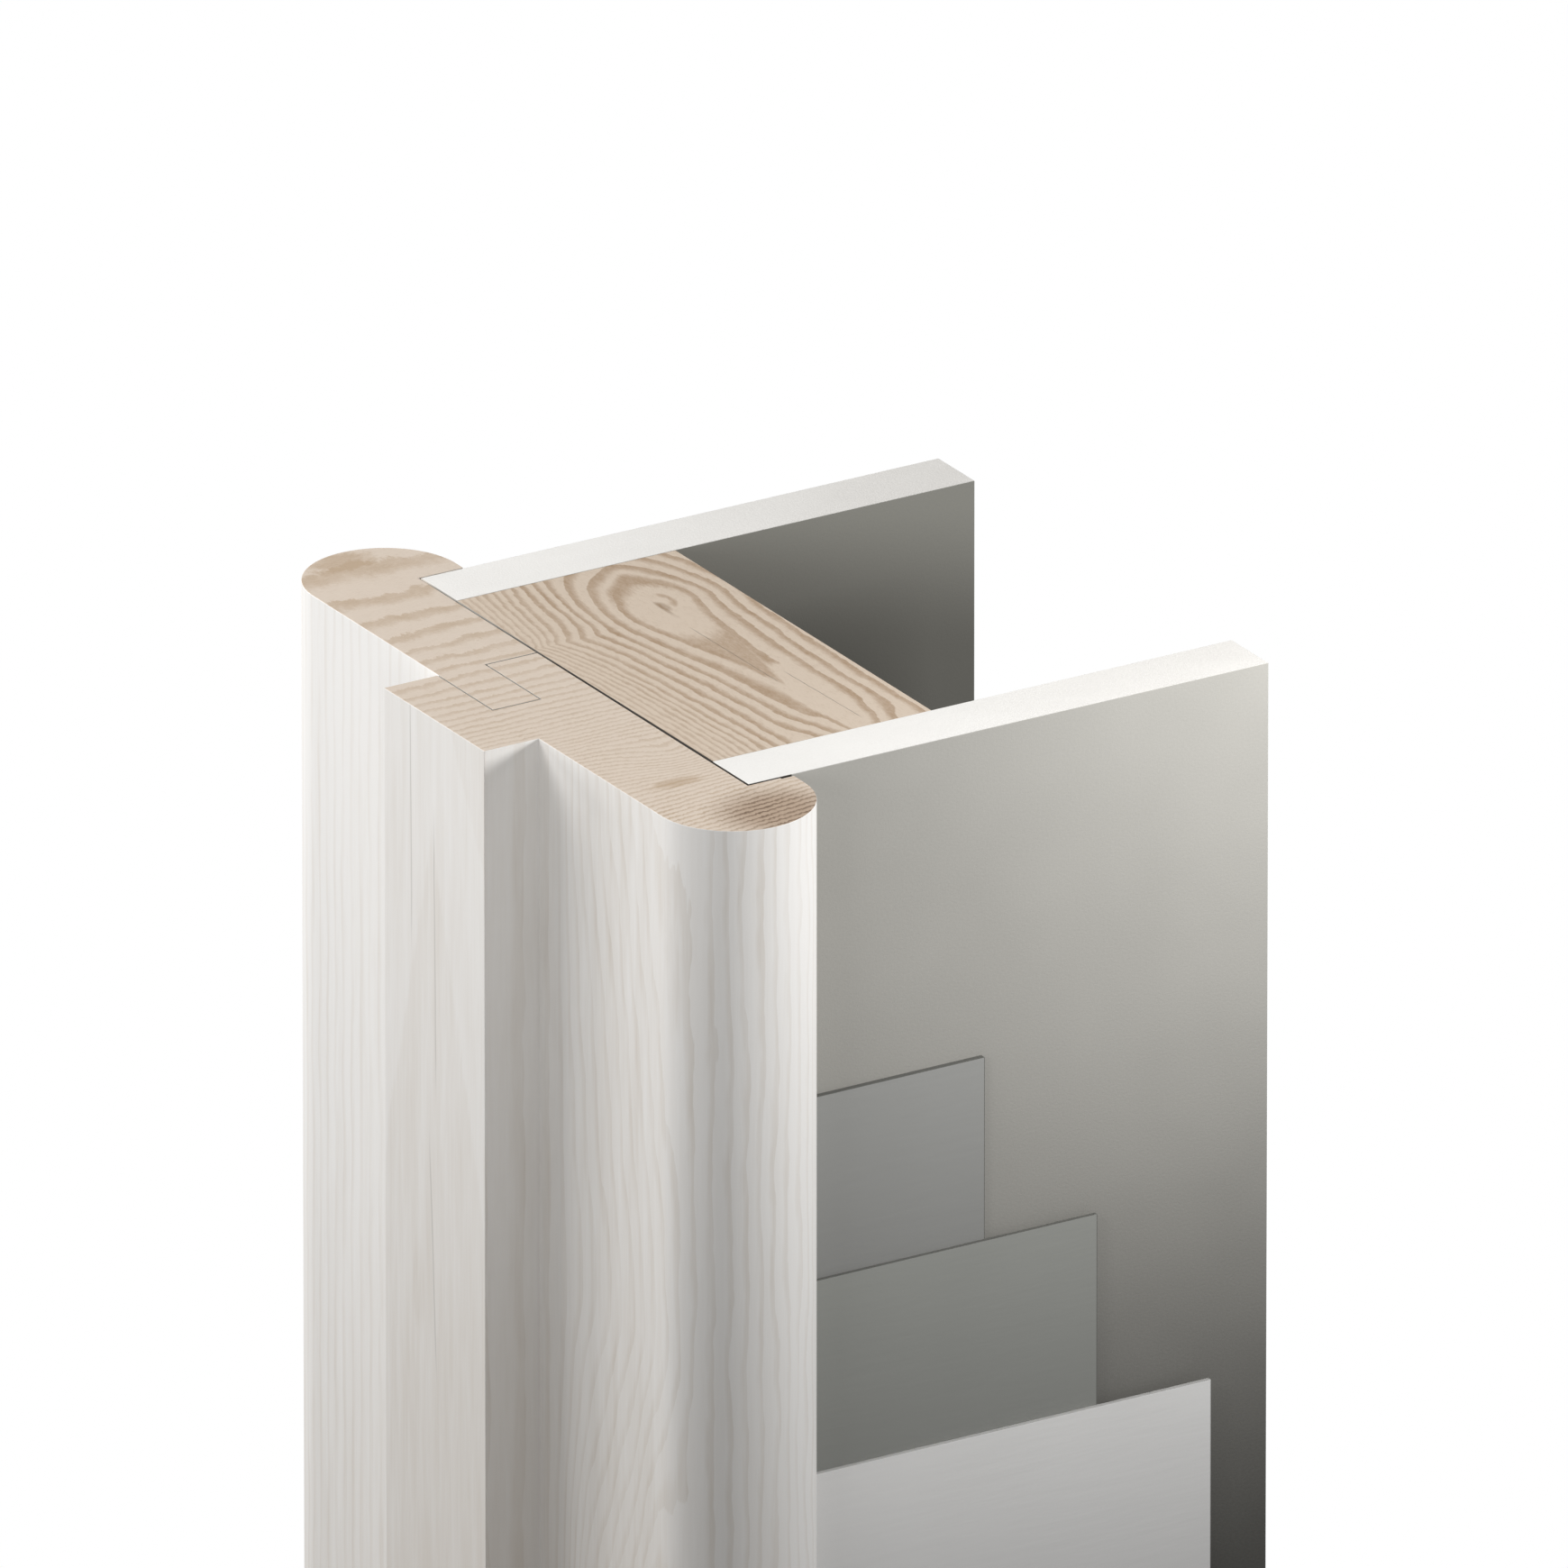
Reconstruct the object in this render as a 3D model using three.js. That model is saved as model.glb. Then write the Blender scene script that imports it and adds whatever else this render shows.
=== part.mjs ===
// Cut-away sample of a split door jamb that wraps the end of a stud wall.
// Millimetres. X runs along the wall, away from the door opening. Y runs across the wall. Z is up.
// Inside the group, X = 0 is the cut end of the wall and Y = 0 is its near face.

import * as THREE from 'three';

// Height of the sample
const sampleHeight = 220;

// Stud wall
const studWidth = 46.4;
const studDepth = 88.9;
const boardThickness = 12.7;
const boardLength = 110.2;

// Jamb section. The whole section is a slab with a half-round nose at each side.
const noseRadius = 15.1;
const rebateDepth = 9.5;
const nearLipStraight = 4;
const farLipStraight = 2.6;
const lipReliefLength = 2.6;
const lipReliefDepth = 0.4;

// Door stop, made in one with the near half
const stopInset = 38.2;
const stopWidth = 35;
const stopDepth = 11.5;

// Tongue of the far half, which slides into the near half behind the stop
const tongueLength = 19.1;
const tongueThickness = 9.8;

// Thin finishing layers on the near board, from the first laid to the last
const layerReaches = [49.3, 72.7, 96.4];
const layerDrops = [63.6, 99.2, 136.7];
const layerThicknesses = [1.3, 0.9, 1];

// Clearances
const wallFit = 0.3;
const tongueFit = 0.25;
const layerFit = 0.3;

const noseSegments = 64;

// Places across and along the wall that follow from the sizes above
const wallThickness = studDepth + 2 * boardThickness;
const seatX = -wallFit;
const lipBackX = seatX + rebateDepth;
const frontX = lipBackX - 2 * noseRadius;
const noseX = frontX + noseRadius;
const nearRebateY = -wallFit;
const farRebateY = wallThickness + wallFit;
const nearNoseY = nearRebateY - nearLipStraight;
const farNoseY = farRebateY + farLipStraight;
const stopFrontX = frontX - stopDepth;
const stopFarY = stopInset + stopWidth;
const shoulderY = stopFarY;
const tongueEndY = shoulderY - tongueLength;
const tongueBackX = frontX + tongueThickness;

// A plan outline made of straight runs
function outlineOf(points) {
  return new THREE.Shape(points.map(([x, y]) => new THREE.Vector2(x, y)));
}

// A plan outline of a rectangle between two corners
function rectangle(minX, minY, maxX, maxY) {
  return outlineOf([[minX, minY], [maxX, minY], [maxX, maxY], [minX, maxY]]);
}

// An upright solid that stands on the ground, with the given plan outline
function upright(name, outline, height, material) {
  const geometry = new THREE.ExtrudeGeometry(outline, {
    depth: height,
    bevelEnabled: false,
    curveSegments: noseSegments,
  });
  const mesh = new THREE.Mesh(geometry, material);
  mesh.name = name;
  return mesh;
}

// The near half: near nose with a relieved lip, seat, groove for the tongue, and door stop
function nearHalfOutline() {
  const outline = new THREE.Shape();
  outline.moveTo(seatX, nearRebateY);
  outline.lineTo(seatX, shoulderY - tongueFit);
  outline.lineTo(tongueBackX + tongueFit, shoulderY - tongueFit);
  outline.lineTo(tongueBackX + tongueFit, tongueEndY - tongueFit);
  outline.lineTo(frontX - tongueFit, tongueEndY - tongueFit);
  outline.lineTo(frontX - tongueFit, stopFarY);
  outline.lineTo(stopFrontX, stopFarY);
  outline.lineTo(stopFrontX, stopInset);
  outline.lineTo(frontX, stopInset);
  outline.lineTo(frontX, nearNoseY);
  outline.absarc(noseX, nearNoseY, noseRadius, Math.PI, 2 * Math.PI, false);
  outline.lineTo(lipBackX, nearRebateY - lipReliefDepth);
  outline.lineTo(lipBackX - lipReliefLength, nearRebateY - lipReliefDepth);
  outline.lineTo(lipBackX - lipReliefLength, nearRebateY);
  outline.closePath();
  return outline;
}

// The far half: far nose, seat, shoulder, and the tongue, flush with the front face
function farHalfOutline() {
  const outline = new THREE.Shape();
  outline.moveTo(seatX, shoulderY);
  outline.lineTo(seatX, farRebateY);
  outline.lineTo(lipBackX, farRebateY);
  outline.lineTo(lipBackX, farNoseY);
  outline.absarc(noseX, farNoseY, noseRadius, 0, Math.PI, false);
  outline.lineTo(frontX, tongueEndY);
  outline.lineTo(tongueBackX, tongueEndY);
  outline.lineTo(tongueBackX, shoulderY);
  outline.closePath();
  return outline;
}

function makeJamb() {
  const whitewashed = new THREE.MeshStandardMaterial({ color: 0xe6e0d8, roughness: 0.6, metalness: 0 });
  const farWhitewashed = whitewashed.clone();
  return [
    upright('jamb_far_half', farHalfOutline(), sampleHeight, farWhitewashed),
    upright('jamb_near_half', nearHalfOutline(), sampleHeight, whitewashed),
  ];
}

function makeWall() {
  const pine = new THREE.MeshStandardMaterial({ color: 0xd9c1a5, roughness: 0.75, metalness: 0 });
  const gypsum = new THREE.MeshStandardMaterial({ color: 0xd8d6d1, roughness: 0.9, metalness: 0 });
  const nearInnerY = boardThickness;
  const farInnerY = wallThickness - boardThickness;
  const stud = rectangle(0, nearInnerY, studWidth, farInnerY);
  const nearBoard = rectangle(0, 0, boardLength, nearInnerY);
  const farBoard = rectangle(0, farInnerY, boardLength, wallThickness);
  return [
    upright('stud', stud, sampleHeight, pine),
    upright('wall_board_far', farBoard, sampleHeight, gypsum),
    upright('wall_board_near', nearBoard, sampleHeight, gypsum.clone()),
  ];
}

// Each layer is a flat sheet in front of the one before. It starts lower and reaches further.
function makeFinishLayers() {
  const colours = [0x8c8b86, 0x86857f, 0xb4b2ae];
  const names = ['finish_layer_first', 'finish_layer_second', 'finish_layer_third'];
  const startX = lipBackX + layerFit;
  let backY = 0;
  return names.map((name, index) => {
    const frontY = backY - layerThicknesses[index];
    const outline = rectangle(startX, frontY, layerReaches[index], backY);
    const material = new THREE.MeshStandardMaterial({
      color: colours[index], roughness: 0.85, metalness: 0,
    });
    backY = frontY;
    return upright(name, outline, sampleHeight - layerDrops[index], material);
  });
}

// The origin is under the middle of the sample's bounding box.
const jamb = new THREE.Group();
jamb.add(...makeJamb(), ...makeWall(), ...makeFinishLayers());
const middleX = (stopFrontX + boardLength) / 2;
const middleY = (nearNoseY + farNoseY) / 2;
jamb.position.set(-middleX, -middleY, 0);

const sample = new THREE.Group();
sample.name = 'split_door_jamb_sample';
sample.add(jamb);

export default sample;
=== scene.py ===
"""Looks for a cut-away sample of a split door jamb that wraps the end of a stud wall.

Lengths in patterns are millimetres from the wall corner: X along the wall from its cut end,
Y across the wall from its near face, and depth down from the cut top.
"""

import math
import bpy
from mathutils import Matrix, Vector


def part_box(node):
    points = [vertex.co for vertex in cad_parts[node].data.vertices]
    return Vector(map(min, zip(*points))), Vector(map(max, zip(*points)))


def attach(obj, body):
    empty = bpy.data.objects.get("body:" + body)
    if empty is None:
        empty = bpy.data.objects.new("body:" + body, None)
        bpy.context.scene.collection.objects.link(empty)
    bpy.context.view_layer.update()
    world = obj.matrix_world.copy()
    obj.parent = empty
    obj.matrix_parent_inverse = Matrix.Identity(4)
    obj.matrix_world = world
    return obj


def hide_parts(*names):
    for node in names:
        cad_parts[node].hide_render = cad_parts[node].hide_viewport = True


bl_info = {
    "name": "Split Door Jamb Sample",
    "version": (1, 0, 0),
    "blender": (4, 5, 0),
    "location": "View3D > Sidebar > Jamb Sample",
    "description": "Dresses a split door jamb, its stud wall and its finishing layers, and sets the stage",
    "category": "Object",
}

import bmesh
import bpy
from bpy.props import FloatProperty, FloatVectorProperty, PointerProperty
from mathutils import Matrix, Vector

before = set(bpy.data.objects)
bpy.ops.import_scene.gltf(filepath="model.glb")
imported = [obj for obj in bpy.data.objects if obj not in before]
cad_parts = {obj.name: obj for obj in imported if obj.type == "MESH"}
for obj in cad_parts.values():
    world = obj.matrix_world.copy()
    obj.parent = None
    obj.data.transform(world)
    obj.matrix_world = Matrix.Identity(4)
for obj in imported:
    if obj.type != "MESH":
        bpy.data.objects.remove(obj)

MM = 0.001
# A face whose normal has a larger part than this along an axis faces along that axis.
FACING = math.cos(math.radians(45))
BOARD_NODES = ("wall_board_far", "wall_board_near")
LAYER_NODES = ("finish_layer_first", "finish_layer_second", "finish_layer_third")

# Places that the frame gives, in metres
NEAR_LOW, NEAR_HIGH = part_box("wall_board_near")
FAR_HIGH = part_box("wall_board_far")[1]
FAR_HALF_LOW, FAR_HALF_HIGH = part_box("jamb_far_half")
NEAR_HALF_LOW, NEAR_HALF_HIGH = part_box("jamb_near_half")
WALL_CORNER = Vector((NEAR_LOW.x, NEAR_LOW.y, NEAR_HIGH.z))

# The same places in pattern millimetres
WALL_THICKNESS = (FAR_HIGH.y - NEAR_LOW.y) / MM
BOARD_THICKNESS = (NEAR_HIGH.y - NEAR_LOW.y) / MM
JAMB_FRONT = (FAR_HALF_LOW.x - WALL_CORNER.x) / MM
LIP_BACK = (FAR_HALF_HIGH.x - WALL_CORNER.x) / MM
STOP_FRONT = (NEAR_HALF_LOW.x - WALL_CORNER.x) / MM
NOSE_RADIUS = (LIP_BACK - JAMB_FRONT) / 2
NOSE_CENTRE = (LIP_BACK + JAMB_FRONT) / 2
NEAR_NOSE = (NEAR_HALF_LOW.y - WALL_CORNER.y) / MM + NOSE_RADIUS
FAR_NOSE = (FAR_HALF_HIGH.y - WALL_CORNER.y) / MM - NOSE_RADIUS
TONGUE_END = (FAR_HALF_LOW.y - WALL_CORNER.y) / MM
STOP_FAR = (NEAR_HALF_HIGH.y - WALL_CORNER.y) / MM

# The door stop's width in the solids, which no box gives
STOP_WIDTH = 35.0
STOP_NEAR = STOP_FAR - STOP_WIDTH


def srgb(red, green, blue):
    """A display colour, 0 to 255, as the linear colour that nodes take."""
    return tuple(
        value / 255 / 12.92 if value / 255 <= 0.04045 else ((value / 255 + 0.055) / 1.055) ** 2.4
        for value in (red, green, blue)
    )


class SampleSizes(bpy.types.PropertyGroup):
    """Small sizes that the finish adds to the solids"""

    timber_arris: FloatProperty(
        name="Timber Arris", description="Width of the eased edge on the timber",
        default=0.12 * MM, min=0.0, max=MM, unit="LENGTH", precision=5)
    board_arris: FloatProperty(
        name="Board Arris", description="Width of the eased edge on the wall boards",
        default=0.15 * MM, min=0.0, max=MM, unit="LENGTH", precision=5)
    layer_arris: FloatProperty(
        name="Layer Arris", description="Width of the eased edge on the finishing layers",
        default=0.12 * MM, min=0.0, max=0.4 * MM, unit="LENGTH", precision=5)
    smooth_angle: FloatProperty(
        name="Smooth Angle", description="Edges flatter than this are shaded smooth",
        default=math.radians(15), subtype="ANGLE")


class SampleColours(bpy.types.PropertyGroup):
    """Colours of the timber, the white wash, the boards and the finishing layers"""

    timber_light: FloatVectorProperty(
        name="Timber Light", description="Early wood on the cut top of the jamb",
        subtype="COLOR", default=srgb(228, 213, 197))
    timber_dark: FloatVectorProperty(
        name="Timber Dark", description="Late wood on the cut top of the jamb",
        subtype="COLOR", default=srgb(196, 173, 147))
    nose_light: FloatVectorProperty(
        name="Nose Light", description="Early wood at the near nose, which is browner",
        subtype="COLOR", default=srgb(191, 168, 146))
    nose_dark: FloatVectorProperty(
        name="Nose Dark", description="Late wood at the near nose",
        subtype="COLOR", default=srgb(114, 92, 72))
    stud_light: FloatVectorProperty(
        name="Stud Light", description="Early wood of the stud",
        subtype="COLOR", default=srgb(223, 206, 187))
    stud_dark: FloatVectorProperty(
        name="Stud Dark", description="Late wood of the stud",
        subtype="COLOR", default=srgb(172, 144, 115))
    pore: FloatVectorProperty(
        name="Pore", description="Open pores and cracks in the timber",
        subtype="COLOR", default=srgb(108, 98, 88))
    # Partly the bare timber's tone and partly painted shade: this dark colour is drawn down the narrow
    # gaps, on paper and stud as well as timber.
    seam: FloatVectorProperty(
        name="Seam", description="Dark bare timber inside the joints",
        subtype="COLOR", default=srgb(52, 46, 40))
    joint: FloatVectorProperty(
        name="Joint", description="Bare timber inside the joint between the two halves",
        subtype="COLOR", default=srgb(172, 168, 161))
    wash: FloatVectorProperty(
        name="White Wash", description="White wash over the jamb's faces",
        subtype="COLOR", default=srgb(248, 246, 243))
    wash_grain: FloatVectorProperty(
        name="Washed Grain", description="Grain that shows through the white wash",
        subtype="COLOR", default=srgb(222, 214, 204))
    board_core: FloatVectorProperty(
        name="Board Core", description="Gypsum core on the boards' cut edges",
        subtype="COLOR", default=srgb(254, 252, 248))
    # Also painted shade: the boards' cut edges are drawn towards this darker colour at their right ends.
    board_pit: FloatVectorProperty(
        name="Board Pits", description="Crumbled spots in the gypsum core",
        subtype="COLOR", default=srgb(230, 227, 222))
    board_paper: FloatVectorProperty(
        name="Board Paper", description="Paper on the boards' faces",
        subtype="COLOR", default=srgb(167, 165, 159))
    # Painted shade: the boards' paper is drawn greyer towards the foot, where less light falls.
    board_foot: FloatVectorProperty(
        name="Board Foot", description="Greyer paper towards the foot of the boards",
        subtype="COLOR", default=srgb(69, 68, 64))
    # Painted shade: the boards' backs are drawn darker than their faces, as shade in the wall's cavity.
    board_back: FloatVectorProperty(
        name="Board Back", description="Paper on the boards' backs, towards the stud",
        subtype="COLOR", default=srgb(142, 141, 134))
    # Painted shade: the paper darkens deeper in the wall's cavity, where shade falls.
    board_dusty: FloatVectorProperty(
        name="Board Cavity Shade", description="Dusty paper deeper in the wall's cavity",
        subtype="COLOR", default=srgb(104, 103, 97))
    layer_first: FloatVectorProperty(
        name="First Layer", description="Face of the first finishing layer",
        subtype="COLOR", default=srgb(160, 160, 157))
    layer_second: FloatVectorProperty(
        name="Second Layer", description="Face of the second finishing layer",
        subtype="COLOR", default=srgb(157, 158, 153))
    layer_third: FloatVectorProperty(
        name="Third Layer", description="Face of the third finishing layer",
        subtype="COLOR", default=srgb(243, 242, 240))
    # Partly the layers' own edge and partly painted shade, standing in for shadow lines at the tops and
    # ends of the first two layers.
    grey_edge_and_shade: FloatVectorProperty(
        name="Grey Edge", description="Cut top and end of the first two finishing layers",
        subtype="COLOR", default=srgb(100, 100, 96))
    # Painted shade: the third layer's top and end are drawn darker than its face, against the light on its
    # top.
    pale_edge_shade: FloatVectorProperty(
        name="Pale Edge", description="Cut top and end of the third finishing layer",
        subtype="COLOR", default=srgb(182, 181, 179))


class StageSettings(bpy.types.PropertyGroup):
    """Camera and lights"""

    camera_azimuth: FloatProperty(
        name="Camera Azimuth", description="Turn of the camera round the sample",
        default=math.radians(-31.39), subtype="ANGLE")
    camera_elevation: FloatProperty(
        name="Camera Elevation", description="Height of the camera above the horizon",
        default=math.radians(22.58), subtype="ANGLE")
    left_power: FloatProperty(
        name="Left Light", description="Power of the high soft light on the door side",
        default=0.9, min=0.0, unit="POWER")
    back_power: FloatProperty(
        name="Back Light", description="Power of the high soft light behind the far nose",
        default=4.0, min=0.0, unit="POWER")
    far_power: FloatProperty(
        name="Far Light", description="Power of the low soft light beyond the far face",
        default=1.6, min=0.0, unit="POWER")
    corner_power: FloatProperty(
        name="Corner Light", description="Power of the small light towards the corner beside the stop",
        default=0.078, min=0.0, unit="POWER", precision=3)
    right_power: FloatProperty(
        name="Right Light", description="Power of the small light by the near board's top corner",
        default=0.41, min=0.0, unit="POWER")
    floor_glow: FloatProperty(
        name="Floor Glow", description="Brightness of the floor, which takes no shadow and lights nothing",
        default=1.0, min=0.0)
    sky_strength: FloatProperty(
        name="Sky Strength", description="Strength of the even light from all round",
        default=0.22, min=0.0)


class Field:
    """A number that varies over a surface, held as one output of a material's nodes.

    Plain arithmetic on fields adds Math nodes to the material.
    """

    def __init__(self, pattern, socket):
        self.pattern = pattern
        self.socket = socket

    def math(self, operation, *others):
        return self.pattern.math(operation, self, *others)

    def __add__(self, other):
        return self.math("ADD", other)

    def __sub__(self, other):
        return self.math("SUBTRACT", other)

    def __mul__(self, other):
        return self.math("MULTIPLY", other)

    def __truediv__(self, other):
        return self.math("DIVIDE", other)

    def __rsub__(self, other):
        return self.pattern.math("SUBTRACT", other, self)

    def __neg__(self):
        return self.math("MULTIPLY", -1.0)

    __radd__ = __add__
    __rmul__ = __mul__

    def size(self):
        return self.math("ABSOLUTE")

    def at_least(self, low):
        return self.math("MAXIMUM", low)

    def at_most(self, high):
        return self.math("MINIMUM", high)

    def power(self, exponent):
        return self.math("POWER", exponent)

    def exponential(self):
        return self.math("EXPONENT")

    def fraction(self):
        return self.math("FRACT")


class Pattern:
    """One material's node tree, with shorthands for the nodes that its patterns use."""

    # Noise keeps near its middle, and this spreads it to about -1 to 1.
    noise_spread = 2.6
    # Places of a Mix node's colour sockets, because its other sockets have the same names
    mix_factor, mix_first, mix_second, mix_result = 0, 6, 7, 2

    def __init__(self, name):
        self.material = bpy.data.materials.new(name)
        self.material.use_nodes = True
        self.tree = self.material.node_tree
        self.shader = self.tree.nodes["Principled BSDF"]
        coordinates = self.tree.nodes.new("ShaderNodeTexCoord")
        to_millimetres = self.tree.nodes.new("ShaderNodeMapping")
        to_millimetres.vector_type = "TEXTURE"
        to_millimetres.inputs["Location"].default_value = WALL_CORNER
        to_millimetres.inputs["Scale"].default_value = (MM, MM, -MM)
        self.link(coordinates.outputs["Object"], to_millimetres.inputs["Vector"])
        self.place = to_millimetres.outputs["Vector"]
        parts = self.tree.nodes.new("ShaderNodeSeparateXYZ")
        self.link(self.place, parts.inputs["Vector"])
        self.x, self.y, self.depth = (Field(self, output) for output in parts.outputs)

    def link(self, source, target):
        self.tree.links.new(source, target)

    def feed(self, value, target):
        """Links a field to a socket, or sets the socket to a plain value."""
        if isinstance(value, Field):
            self.link(value.socket, target)
        else:
            target.default_value = value

    def math(self, operation, *values):
        """A Math node over fields and plain values."""
        node = self.tree.nodes.new("ShaderNodeMath")
        node.operation = operation
        for value, target in zip(values, node.inputs):
            self.feed(value, target)
        return Field(self, node.outputs["Value"])

    def step(self, value, low, high):
        """Rises smoothly from 0 where value is low to 1 where it is high."""
        node = self.tree.nodes.new("ShaderNodeMapRange")
        node.interpolation_type = "SMOOTHSTEP"
        for entry, name in ((value, "Value"), (low, "From Min"), (high, "From Max")):
            self.feed(entry, node.inputs[name])
        return Field(self, node.outputs["Result"])

    def grain(self, size, detail, roughness=0.5, shift=0.0):
        """Noise from about -1 to 1, whose lumps have this size in millimetres along X, Y and depth."""
        stretch = self.tree.nodes.new("ShaderNodeMapping")
        stretch.inputs["Scale"].default_value = [1 / length for length in size]
        stretch.inputs["Location"].default_value = (shift, shift, shift)
        self.link(self.place, stretch.inputs["Vector"])
        return self.noise_at(stretch.outputs["Vector"], detail, roughness)

    def combine(self, x, y, z):
        """One vector from three values."""
        node = self.tree.nodes.new("ShaderNodeCombineXYZ")
        for value, target in zip((x, y, z), node.inputs):
            self.feed(value, target)
        return node.outputs["Vector"]

    def noise_at(self, vector, detail, roughness=0.5):
        """Noise from about -1 to 1 at a vector of the material's own making."""
        noise = self.tree.nodes.new("ShaderNodeTexNoise")
        noise.inputs["Scale"].default_value = 1.0
        noise.inputs["Detail"].default_value = detail
        noise.inputs["Roughness"].default_value = roughness
        self.link(vector, noise.inputs["Vector"])
        return (Field(self, noise.outputs[0]) - 0.5) * self.noise_spread

    def blend(self, factor, first, second):
        """A colour that goes from first to second as factor goes from 0 to 1."""
        node = self.tree.nodes.new("ShaderNodeMix")
        node.data_type = "RGBA"
        self.feed(factor, node.inputs[self.mix_factor])
        for entry, place in ((first, self.mix_first), (second, self.mix_second)):
            if isinstance(entry, bpy.types.NodeSocket):
                self.link(entry, node.inputs[place])
            else:
                node.inputs[place].default_value = (*entry, 1.0)
        return node.outputs[self.mix_result]

    def finish(self, colour, roughness, height, bump):
        """Feeds the shader. bump is the relief in millimetres for a height of 1."""
        self.link(colour, self.shader.inputs["Base Color"])
        self.feed(roughness, self.shader.inputs["Roughness"])
        relief = self.tree.nodes.new("ShaderNodeBump")
        relief.inputs["Distance"].default_value = bump * MM
        self.feed(height, relief.inputs["Height"])
        self.link(relief.outputs["Normal"], self.shader.inputs["Normal"])
        return self.material


def late_wood(pattern, rings, start, peak, end):
    """How dark a growth ring is. It darkens outwards and ends sharply where the next ring starts."""
    phase = rings.fraction()
    return pattern.step(phase, start, peak) * (1.0 - pattern.step(phase, end, 1.0))


def between(pattern, value, low, high, soft=0.1):
    """1 where value lies between low and high, with soft edges inside them."""
    return pattern.step(value, low, low + soft) * (1.0 - pattern.step(value, high - soft, high))


def seam_shade_tone(pattern, colours):
    """Painted shade for the seams against the wall, which are nearly closed at the far board and open at
    the near one.
    """
    tone = pattern.blend(pattern.step(pattern.y, 60.0, 104.0), colours.seam, colours.joint)
    return pattern.blend(pattern.step(pattern.y, 108.0, 113.0), tone, colours.wash_grain)


def seams(pattern, colours, face):
    """Paints shade on the jamb faces that lie against the wall. Those against the other half take the
    paler colour of the bare joint.
    """
    # The rebates' faces stand less than 1 mm clear of the wall.
    against_wall = pattern.step(pattern.x, -1.2, -1.1)
    against_wall = against_wall * between(pattern, pattern.y, -0.9, WALL_THICKNESS + 0.5)
    # The halves meet inside the joint, and at the shoulder behind the stop's far side.
    joint = between(pattern, pattern.y, TONGUE_END - 0.4, STOP_FAR - 0.05)
    joint = joint * between(pattern, pattern.x, JAMB_FRONT - 0.5, 0.0)
    shoulder = between(pattern, pattern.y, STOP_FAR - 0.2, STOP_FAR + 0.5)
    shoulder = shoulder * pattern.step(pattern.x, JAMB_FRONT + 0.3, JAMB_FRONT + 0.5)
    halves = (joint + shoulder).at_most(1.0)
    face = pattern.blend(halves, face, colours.joint)
    return pattern.blend(against_wall, face, seam_shade_tone(pattern, colours))


def distance_from(across, along, centre, radii):
    """Distance from a centre, in radii of the ellipse round it."""
    across = (across - centre[0]) / radii[0]
    along = (along - centre[1]) / radii[1]
    return (across * across + along * along).power(0.5)


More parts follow.
